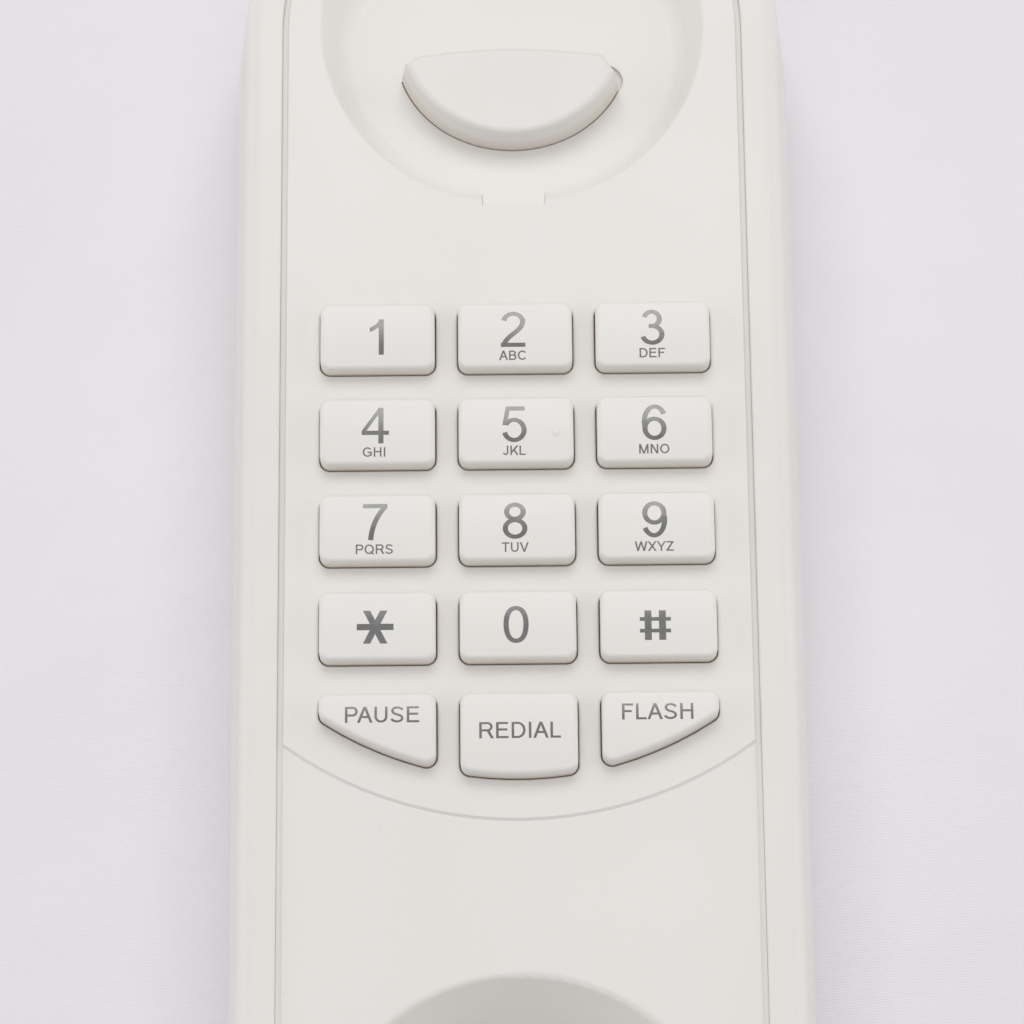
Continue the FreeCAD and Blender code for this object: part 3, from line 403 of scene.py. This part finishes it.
def key_middle(name):
    """The middle of a key across and along, and where its far edge lies."""
    low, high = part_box("key_" + name)
    return (low.x + high.x) / 2, (low.y + high.y) / 2, high.y


def print_place(name, x, y):
    """Where a print's middle lies, when it is meant for x, y on the key."""
    across, up = PRINT_OFFSETS.get(name, (0.0, 0.0))
    return x + LEGEND_SHIFT + across, y + up


def print_digits(ink):
    """The digits, each with its group of small letters under it."""
    for name, (width, shapes) in digits(*DIGIT_STROKES).items():
        x, y, _ = key_middle(name)
        rise = DIGIT_MIDDLE if name in LETTERS_UNDER else LONE_DIGIT_MIDDLE
        prints = [(width, 1, shapes, DIGIT_HEIGHT, print_place(name, x, y + rise))]
        if name in LETTERS_UNDER:
            word = LETTERS_UNDER[name]
            long, small = word_shapes(word, *LETTER_STROKES)
            prints.append((long, 1, small, LETTER_HEIGHT, print_place(word, x, y + LETTER_MIDDLE)))
        legend_piece(name, prints, ink)


def print_signs(ink):
    """The star and the hash sign."""
    for name, (width, height, shapes) in (("star", star()), ("hash", hash_sign())):
        x, y, _ = key_middle(name)
        place = print_place(name, x, y + LONE_DIGIT_MIDDLE)
        legend_piece(name, [(width, height, shapes, DIGIT_HEIGHT, place)], ink)


def print_words(ink):
    """The words on the three function keys."""
    for name, (text, across, down) in WORDS.items():
        x, _, top = key_middle(name)
        width, shapes = word_shapes(text, *WORD_STROKES)
        place = (x + across, top - KEY_FLANGE + down)
        legend_piece(name, [(width, 1, shapes, WORD_HEIGHT, place)], ink)


# ---- materials ---------------------------------------------------------------------
class Recipe:
    """A procedural material being put together; places are taken in the part's own metres.

    Noise, cells and waves take their scale per metre, and relief takes its depth in metres.
    """

    def __init__(self, name, colour, roughness, metallic=0.0):
        self.material = bpy.data.materials.new(name)
        self.material.use_nodes = True
        self.tree = self.material.node_tree
        self.shader = self.tree.nodes["Principled BSDF"]
        self.shader.inputs["Base Color"].default_value = (*colour, 1.0)
        self.shader.inputs["Roughness"].default_value = roughness
        self.shader.inputs["Metallic"].default_value = metallic
        self.place = self.add("ShaderNodeTexCoord").outputs["Object"]

    def add(self, kind, **settings):
        node = self.tree.nodes.new(kind)
        for key, value in settings.items():
            setattr(node, key, value)
        return node

    def plug(self, value, socket):
        """Links a socket to a socket, or sets a plain value."""
        if isinstance(value, bpy.types.NodeSocket):
            self.tree.links.new(value, socket)
        elif isinstance(value, tuple) and len(value) == 3 and socket.type == "RGBA":
            socket.default_value = (*value, 1.0)
        else:
            socket.default_value = value

    def stretched(self, x, y, z):
        """Places scaled differently along each axis, for streaks and grain."""
        node = self.add("ShaderNodeMapping")
        self.plug(self.place, node.inputs["Vector"])
        self.plug((x, y, z), node.inputs["Scale"])
        return node.outputs["Vector"]

    def noise(self, scale, detail, vector=None):
        node = self.add("ShaderNodeTexNoise")
        self.plug(vector or self.place, node.inputs["Vector"])
        self.plug(float(scale), node.inputs["Scale"])
        self.plug(float(detail), node.inputs["Detail"])
        return node.outputs["Fac"]

    def cells(self, scale, feature="F1"):
        node = self.add("ShaderNodeTexVoronoi", feature=feature)
        self.plug(self.place, node.inputs["Vector"])
        self.plug(float(scale), node.inputs["Scale"])
        return node.outputs["Distance"]

    def waves(self, scale, direction, distortion=0.0):
        node = self.add("ShaderNodeTexWave", bands_direction=direction)
        self.plug(self.place, node.inputs["Vector"])
        self.plug(float(scale), node.inputs["Scale"])
        self.plug(float(distortion), node.inputs["Distortion"])
        return node.outputs["Fac"]

    def remap(self, value, low, high, new_low, new_high):
        node = self.add("ShaderNodeMapRange")
        self.plug(value, node.inputs["Value"])
        for socket, number in zip(node.inputs[1:5], (low, high, new_low, new_high)):
            self.plug(float(number), socket)
        return node.outputs["Result"]

    def maths(self, operation, first, second):
        node = self.add("ShaderNodeMath", operation=operation)
        self.plug(first, node.inputs[0])
        self.plug(second, node.inputs[1])
        return node.outputs[0]

    def mix(self, factor, first, second):
        """The first colour where the factor is 0 and the second where it is 1."""
        node = self.add("ShaderNodeMix", data_type="RGBA")
        self.plug(factor, node.inputs[0])
        self.plug(first, node.inputs[6])
        self.plug(second, node.inputs[7])
        return node.outputs[2]

    def within(self, name, low, high, soft):
        """1 where a place lies between two values along one axis, with a soft end to either side."""
        along = self.axis(self.place, name)
        started = self.remap(along, low - soft, low, 0, 1)
        ended = self.remap(along, high, high + soft, 1, 0)
        return self.maths("MULTIPLY", started, ended)

    def axis(self, source, name):
        """One part of a vector, X, Y or Z."""
        node = self.add("ShaderNodeSeparateXYZ")
        self.plug(source, node.inputs[0])
        return node.outputs[name]

    def facing(self, name):
        """One part of the surface's own direction, X, Y or Z."""
        return self.axis(self.add("ShaderNodeNewGeometry").outputs["Normal"], name)

    def colour(self, value):
        self.plug(value, self.shader.inputs["Base Color"])

    def roughness(self, value):
        self.plug(value, self.shader.inputs["Roughness"])

    def relief(self, height, depth, under=None):
        """Bump of the given depth in metres; returns the normal for another bump on top."""
        node = self.add("ShaderNodeBump")
        self.plug(float(depth), node.inputs["Distance"])
        self.plug(height, node.inputs["Height"])
        if under is not None:
            self.plug(under, node.inputs["Normal"])
        self.plug(node.outputs["Normal"], self.shader.inputs["Normal"])
        return node.outputs["Normal"]

    def set(self, **values):
        """Sets the shader's own sockets, such as coat_weight=0.2."""
        for key, value in values.items():
            socket = self.shader.inputs[key.replace("_", " ").title().replace("Ior", "IOR")]
            socket.default_value = value


def shade(colour, factor):
    """The same colour, lighter or darker."""
    return tuple(min(1.0, c * factor) for c in colour)


def toned(colour, factors):
    """The colour with its red, green and blue each multiplied by a factor."""
    return tuple(c * factor for c, factor in zip(colour, factors))


def painted_shade_key_foot(r, tint, colour):
    """Painted shade: a warmer tone low on each key, down in its gap, which fades out above the face."""
    foot = r.within("Z", 0.0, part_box("face_panel")[1].z, KEY_FOOT_FADE)
    return r.mix(foot, tint, toned(colour, PAINTED_SHADE_TONE))


def painted_shade_hook_foot(r, tint, colour):
    """Painted shade: a darker and warmer tone low on the hook button's wall."""
    foot = r.within("Z", 0.0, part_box("hook_button")[1].z - HOOK_FOOT, HOOK_FOOT_FADE)
    return r.mix(foot, tint, toned(colour, HOOK_PAINTED_SHADE_TONE))


def painted_shade_openings(r, tint, colour):
    """Painted shade: the keys' warmer tone on the walls of their openings, below the face."""
    key_field = r.within("Y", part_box("key_redial")[0].y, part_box("key_1")[1].y, KEY_FIELD_FADE)
    below_face = r.within("Z", 0.0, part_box("face_panel")[1].z - OPENING_DEPTH, OPENING_FADE)
    openings = r.maths("MULTIPLY", key_field, below_face)
    return r.mix(openings, tint, toned(colour, PAINTED_SHADE_TONE))


def moulded_abs(name, colour, roughness, grain, depth, add_painted_shade=None):
    """Injection-moulded plastic: spark-eroded grain, faint flow clouds, rare specks, polished patches.

    The last argument, if given, is the function that paints shade: a warmer tone on part of the piece.
    """
    r = Recipe(name, colour, roughness)
    clouds = r.noise(28, 3)
    flow = r.noise(1, 3, r.stretched(60, 18, 60))
    tint = r.mix(r.remap(clouds, 0.35, 0.65, 0, 1), shade(colour, 0.985), shade(colour, 1.01))
    tint = r.mix(r.remap(flow, 0.45, 0.75, 0, 0.35), tint, toned(colour, (1, 0.995, 0.975)))
    # Painted shade, where asked for: a warmer, darker tone in the gaps and low on walls.
    if add_painted_shade:
        tint = add_painted_shade(r, tint, colour)
    speck = r.remap(r.cells(420), 0.035, 0.055, 1, 0)
    rare = r.remap(r.noise(160, 1), 0.66, 0.70, 0, 1)
    specks = r.maths("MULTIPLY", speck, rare)
    r.colour(r.mix(r.maths("MULTIPLY", specks, 0.35), tint, shade(colour, 0.55)))
    polish = r.remap(r.noise(45, 4), 0.3, 0.7, roughness - 0.05, roughness + 0.05)
    r.roughness(polish)
    coarse = r.relief(r.noise(grain * 0.28, 2), depth * 1.6)
    r.relief(r.noise(grain, 3), depth, coarse)
    return r.material


def ink_material():
    """Glossy dark grey ink with a finely uneven tone and relief."""
    ink = (0.092, 0.092, 0.094)
    r = Recipe("legend_ink", ink, 0.22)
    r.colour(r.mix(r.noise(2600, 2), shade(ink, 0.85), shade(ink, 1.25)))
    r.roughness(r.remap(r.noise(900, 2), 0.3, 0.7, 0.18, 0.26))
    r.relief(r.noise(5200, 2), 0.000002)
    r.set(ior=INK_REFRACTION)
    return r.material


def soft_rubber(name, colour, roughness, grain, most_bloom):
    """Moulded rubber or silicone: fine pores and patches of pale bloom."""
    r = Recipe(name, colour, roughness)
    bloom = r.remap(r.noise(90, 4), 0.4, 0.7, 0, most_bloom)
    tint = r.mix(r.noise(grain, 2), shade(colour, 0.9), shade(colour, 1.1))
    r.colour(r.mix(bloom, tint, (0.5, 0.5, 0.48)))
    r.roughness(r.remap(r.noise(200, 3), 0.3, 0.7, roughness - 0.08, roughness + 0.08))
    r.relief(r.noise(grain, 3), 0.00002)
    return r.material


def silicone():
    """Slightly translucent silicone rubber."""
    material = soft_rubber("silicone", (0.72, 0.69, 0.63), 0.5, 1800, 0.15)
    shader = material.node_tree.nodes["Principled BSDF"]
    shader.inputs["Subsurface Weight"].default_value = 0.3
    shader.inputs["Subsurface Scale"].default_value = 0.0008
    return material


def circuit_board():
    """Solder mask with copper tracks showing through, pale pads and a phenolic edge."""
    mask = (0.025, 0.13, 0.045)
    r = Recipe("board", mask, 0.35)
    tracks = r.cells(260, "DISTANCE_TO_EDGE")
    track_mask = r.remap(tracks, 0.05, 0.08, 1, 0)
    body = r.mix(r.noise(70, 3), shade(mask, 0.85), shade(mask, 1.2))
    body = r.mix(r.maths("MULTIPLY", track_mask, 0.6), body, (0.06, 0.24, 0.07))
    pads = r.remap(r.cells(390), 0.10, 0.12, 1, 0)
    body = r.mix(pads, body, (0.55, 0.55, 0.56))
    flat = r.remap(r.maths("ABSOLUTE", r.facing("Z"), 0.0), 0.5, 0.6, 0, 1)
    phenolic = r.mix(r.noise(1, 3, r.stretched(400, 400, 4000)), (0.32, 0.20, 0.08), (0.48, 0.33, 0.15))
    r.colour(r.mix(flat, phenolic, body))
    r.roughness(r.remap(r.noise(300, 2), 0.3, 0.7, 0.28, 0.45))
    r.relief(r.maths("ADD", track_mask, r.maths("MULTIPLY", pads, 2.0)), 0.00003)
    return r.material


def moulded_resin():
    """Matt black chip epoxy with filler grains."""
    resin = (0.018, 0.018, 0.02)
    r = Recipe("chip_resin", resin, 0.55)
    r.colour(r.mix(r.noise(4200, 2), shade(resin, 0.7), shade(resin, 1.8)))
    r.roughness(r.remap(r.noise(900, 2), 0.3, 0.7, 0.48, 0.66))
    r.relief(r.noise(3800, 3), 0.00001)
    return r.material


def capacitor_sleeve():
    """Shrink sleeve with a pale stripe, and the can's bare aluminium ends."""
    r = Recipe("capacitor_sleeve", (0.012, 0.02, 0.07), 0.25)
    stripe = r.remap(r.facing("X"), 0.80, 0.83, 0, 1)
    sleeve = r.mix(r.noise(500, 2), (0.010, 0.017, 0.06), (0.016, 0.026, 0.09))
    sleeve = r.mix(stripe, sleeve, (0.55, 0.56, 0.60))
    end = r.remap(r.maths("ABSOLUTE", r.facing("Z"), 0.0), 0.8, 0.9, 0, 1)
    r.colour(r.mix(end, sleeve, (0.62, 0.62, 0.63)))
    r.plug(end, r.shader.inputs["Metallic"])
    r.roughness(r.remap(r.noise(700, 2), 0.3, 0.7, 0.2, 0.34))
    r.relief(r.noise(900, 2), 0.00001)
    return r.material


def resistor_lacquer():
    """Tan lacquer with coloured bands across the body."""
    r = Recipe("resistor_lacquer", (0.5, 0.33, 0.16), 0.25)
    body = r.mix(r.noise(600, 2), (0.46, 0.30, 0.14), (0.56, 0.38, 0.19))
    band = r.remap(r.waves(210, "X"), 0.80, 0.84, 0, 1)
    hue = r.mix(r.remap(r.noise(150, 0), 0.45, 0.55, 0, 1), (0.35, 0.02, 0.01), (0.05, 0.025, 0.01))
    r.colour(r.mix(band, body, hue))
    r.roughness(r.remap(r.noise(400, 2), 0.3, 0.7, 0.2, 0.32))
    r.relief(r.noise(500, 2), 0.00002)
    return r.material


def plain_moulding(name, colour, roughness, grain, depth):
    """Small technical moulding: fine grain, clouds and faint darker spots."""
    r = Recipe(name, colour, roughness)
    tint = r.mix(r.noise(120, 3), shade(colour, 0.88), shade(colour, 1.1))
    r.colour(r.mix(r.remap(r.noise(700, 3), 0.55, 0.8, 0, 0.3), tint, shade(colour, 0.6)))
    r.roughness(r.remap(r.noise(260, 3), 0.3, 0.7, roughness - 0.07, roughness + 0.07))
    r.relief(r.noise(grain, 3), depth)
    return r.material


def dipped_epoxy():
    """Glossy dipped coating that runs a little, in a hue that changes from place to place."""
    r = Recipe("component_epoxy", (0.3, 0.05, 0.02), 0.2)
    hue = r.mix(r.remap(r.noise(70, 0), 0.45, 0.55, 0, 1), (0.33, 0.05, 0.02), (0.02, 0.05, 0.16))
    r.colour(r.mix(r.noise(900, 2), hue, (0.12, 0.05, 0.04)))
    r.roughness(r.remap(r.noise(300, 2), 0.3, 0.7, 0.14, 0.28))
    r.relief(r.noise(260, 2), 0.00008)
    return r.material


def metal(name, colour, roughness, streaks, stain):
    """Metal with drawing or rolling streaks along one direction, and stains."""
    r = Recipe(name, colour, roughness, 1.0)
    lines = r.noise(1, 3, r.stretched(*streaks))
    tint = r.mix(lines, shade(colour, 0.88), shade(colour, 1.08))
    spots = r.remap(r.noise(240, 4), 0.58, 0.72, 0, 0.6)
    r.colour(r.mix(spots, tint, stain))
    r.roughness(r.remap(lines, 0.3, 0.7, roughness - 0.08, roughness + 0.1))
    r.relief(lines, 0.000012)
    return r.material


def wire_insulation():
    """Four insulated wires lying together, told apart by the side of the bundle they are on."""
    r = Recipe("lead_insulation", (0.4, 0.03, 0.02), 0.35)
    across = r.remap(r.facing("X"), -0.03, 0.03, 0, 1)
    upper = r.remap(r.facing("Z"), -0.03, 0.03, 0, 1)
    above = r.mix(across, (0.45, 0.02, 0.02), (0.02, 0.22, 0.05))
    below = r.mix(across, (0.02, 0.02, 0.02), (0.55, 0.42, 0.03))
    both = r.mix(upper, below, above)
    r.colour(r.mix(r.remap(r.noise(800, 2), 0.3, 0.7, 0, 0.3), both, (0.1, 0.1, 0.1)))
    r.roughness(r.remap(r.noise(500, 2), 0.3, 0.7, 0.3, 0.45))
    r.relief(r.noise(700, 2), 0.00002)
    return r.material


def label_stock():
    """Blank coated label with paper fibre, faint stains and a thin printed frame."""
    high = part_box("rating_label")[1]
    r = Recipe("label_paper", (0.78, 0.78, 0.77), 0.4)
    paper = r.mix(r.noise(1600, 4), (0.73, 0.73, 0.72), (0.80, 0.80, 0.79))
    paper = r.mix(r.remap(r.noise(60, 4), 0.5, 0.75, 0, 0.25), paper, (0.62, 0.60, 0.54))
    inset = 1.6 * MM
    past_x, past_y = (
        r.maths("SUBTRACT", r.maths("ABSOLUTE", r.axis(r.place, name), 0.0), half - inset)
        for name, half in (("X", high.x), ("Y", high.y))
    )
    off_line = r.maths("ABSOLUTE", r.maths("MAXIMUM", past_x, past_y), 0.0)
    printed = r.remap(off_line, 0.12 * MM, 0.17 * MM, 1, 0)
    r.colour(r.mix(printed, paper, (0.12, 0.12, 0.13)))
    r.roughness(r.remap(r.noise(500, 3), 0.3, 0.7, 0.34, 0.5))
    r.relief(r.noise(1800, 3), 0.000008)
    return r.material


def cloth_floor():
    """Pale table cover with a very fine weave and soft, wide unevenness."""
    pale = (0.865, 0.845, 0.89)
    r = Recipe("floor_cloth", pale, 0.9)
    weave = r.mix(0.22, r.waves(850, "Y", 0.3), r.waves(640, "X", 0.3))
    weave = r.maths("MULTIPLY", weave, r.remap(r.noise(4.5, 1), 0.42, 0.6, 0.2, 1))
    tint = r.mix(r.remap(r.noise(14, 3), 0.35, 0.65, 0, 1), shade(pale, 0.985), shade(pale, 1.01))
    r.colour(r.mix(weave, tint, shade(pale, 0.955)))
    folds = r.relief(r.noise(1, 3, r.stretched(9, 14, 9)), 0.004)
    r.relief(weave, 0.00002, folds)
    r.set(sheen_weight=0.15)
    return r.material


def slot_materials():
    """The record's material slots, each with its own material."""
    button = shade(PANEL, 0.965)
    return {
        "housing_plastic": moulded_abs("housing_plastic", HOUSING, 0.46, 4200, 0.000006),
        # The panel, the keys and the hook button get painted shade in their gaps and low on their walls.
        "panel_plastic": moulded_abs("panel_plastic", PANEL, 0.45, 4200, 0.000006, painted_shade_openings),
        "cover_plastic": moulded_abs("cover_plastic", shade(HOUSING, 0.99), 0.55, 2600, 0.000014),
        "key_plastic": moulded_abs("key_plastic", KEYS, 0.38, 5600, 0.000003, painted_shade_key_foot),
        "button_plastic": moulded_abs("button_plastic", button, 0.40, 5200, 0.000003, painted_shade_hook_foot),
        "tab_plastic": moulded_abs("tab_plastic", shade(PANEL, 1.02), 0.40, 5200, 0.000003),
        "silicone": silicone(),
        "carbon": soft_rubber("carbon", (0.015, 0.015, 0.015), 0.7, 3200, 0.04),
        "board": circuit_board(),
        "chip_resin": moulded_resin(),
        "capacitor_sleeve": capacitor_sleeve(),
        "resistor_lacquer": resistor_lacquer(),
        "header_plastic": plain_moulding("header_plastic", (0.76, 0.73, 0.62), 0.4, 2600, 0.00001),
        "component_epoxy": dipped_epoxy(),
        "screw_steel": metal("screw_steel", (0.60, 0.60, 0.59),
                             0.32, (900, 900, 5000), (0.42, 0.43, 0.36)),
        "spring_steel": metal("spring_steel", (0.62, 0.62, 0.62),
                              0.25, (700, 4000, 4000), (0.4, 0.38, 0.35)),
        "switch_plastic": plain_moulding("switch_plastic", (0.022, 0.022, 0.023), 0.42, 2400, 0.000012),
        "knob_plastic": plain_moulding("knob_plastic", (0.016, 0.016, 0.017), 0.35, 2800, 0.00001),
        "jack_plastic": plain_moulding("jack_plastic", (0.66, 0.64, 0.56), 0.38, 2600, 0.00001),
        "contact_brass": metal("contact_brass", (0.83, 0.62, 0.27),
                               0.25, (3000, 500, 3000), (0.4, 0.26, 0.1)),
        "lead_insulation": wire_insulation(),
        "ballast_steel": metal("ballast_steel", (0.42, 0.42, 0.41),
                               0.45, (120, 2600, 900), (0.22, 0.12, 0.06)),
        "foot_rubber": soft_rubber("foot_rubber", (0.055, 0.055, 0.055), 0.75, 2600, 0.2),
        "label_paper": label_stock(),
    }


def dress_nodes():
    """Gives each CAD node the material of its slot."""
    materials = slot_materials()
    for part in frame["record"]["subparts"]:
        data = NODES[part["node"]].data
        data.materials.clear()
        data.materials.append(materials[part["material_slot"]])


# ---- stage, lights, camera ---------------------------------------------------------
def make_floor():
    """Square of cloth under the phone, turned a little against it."""
    half = FLOOR_HALF
    mesh = bmesh.new()
    corners = [(-half, -half, 0), (half, -half, 0), (half, half, 0), (-half, half, 0)]
    mesh.faces.new([mesh.verts.new(c) for c in corners])
    data = bpy.data.meshes.new("floor")
    mesh.to_mesh(data)
    mesh.free()
    data.materials.append(cloth_floor())
    floor = bpy.data.objects.new("floor", data)
    floor.rotation_euler.z = math.radians(FLOOR_TURN)
    bpy.context.scene.collection.objects.link(floor)


def softbox(name, place, width, height, watts):
    """Area light that looks at the middle of the phone."""
    light = bpy.data.lights.new(name, "AREA")
    light.shape = "RECTANGLE"
    light.size = width
    light.size_y = height
    light.energy = watts
    light.color = LIGHT_COLOUR
    lamp = bpy.data.objects.new(name, light)
    lamp.location = place
    lamp.rotation_euler = (-Vector(place)).to_track_quat("-Z", "Y").to_euler()
    lamp.visible_camera = False
    bpy.context.scene.collection.objects.link(lamp)


def light_scene():
    """Softboxes and panels, and a pale even world behind them."""
    for setting in LIGHTS:
        softbox(*setting)
    world = bpy.data.worlds.new("studio")
    world.use_nodes = True
    background = world.node_tree.nodes["Background"]
    background.inputs["Color"].default_value = WORLD_COLOUR
    background.inputs["Strength"].default_value = WORLD_STRENGTH
    bpy.context.scene.world = world
    bpy.context.scene.view_settings.view_transform = "Standard"


def make_camera():
    """Camera above the face, leaning towards the mouthpiece end."""
    face_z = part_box("face_panel")[1].z
    tilt = Matrix.Rotation(math.radians(CAMERA_TILT), 4, "X")
    roll = Matrix.Rotation(math.radians(CAMERA_ROLL), 4, "Z")
    aim = Vector((CAMERA_AIM_SIDE, CAMERA_AIM_FORWARD, face_z))
    back = tilt.to_3x3() @ Vector((0, 0, 1))
    data = bpy.data.cameras.new("camera")
    data.lens = CAMERA_LENS
    data.sensor_width = CAMERA_SENSOR
    camera = bpy.data.objects.new("camera", data)
    camera.matrix_world = Matrix.Translation(aim + back * CAMERA_DISTANCE) @ tilt @ roll
    bpy.context.scene.collection.objects.link(camera)
    bpy.context.scene.camera = camera


make_camera()
light_scene()
make_floor()
dress_nodes()
legend_ink = ink_material()
print_digits(legend_ink)
print_signs(legend_ink)
print_words(legend_ink)
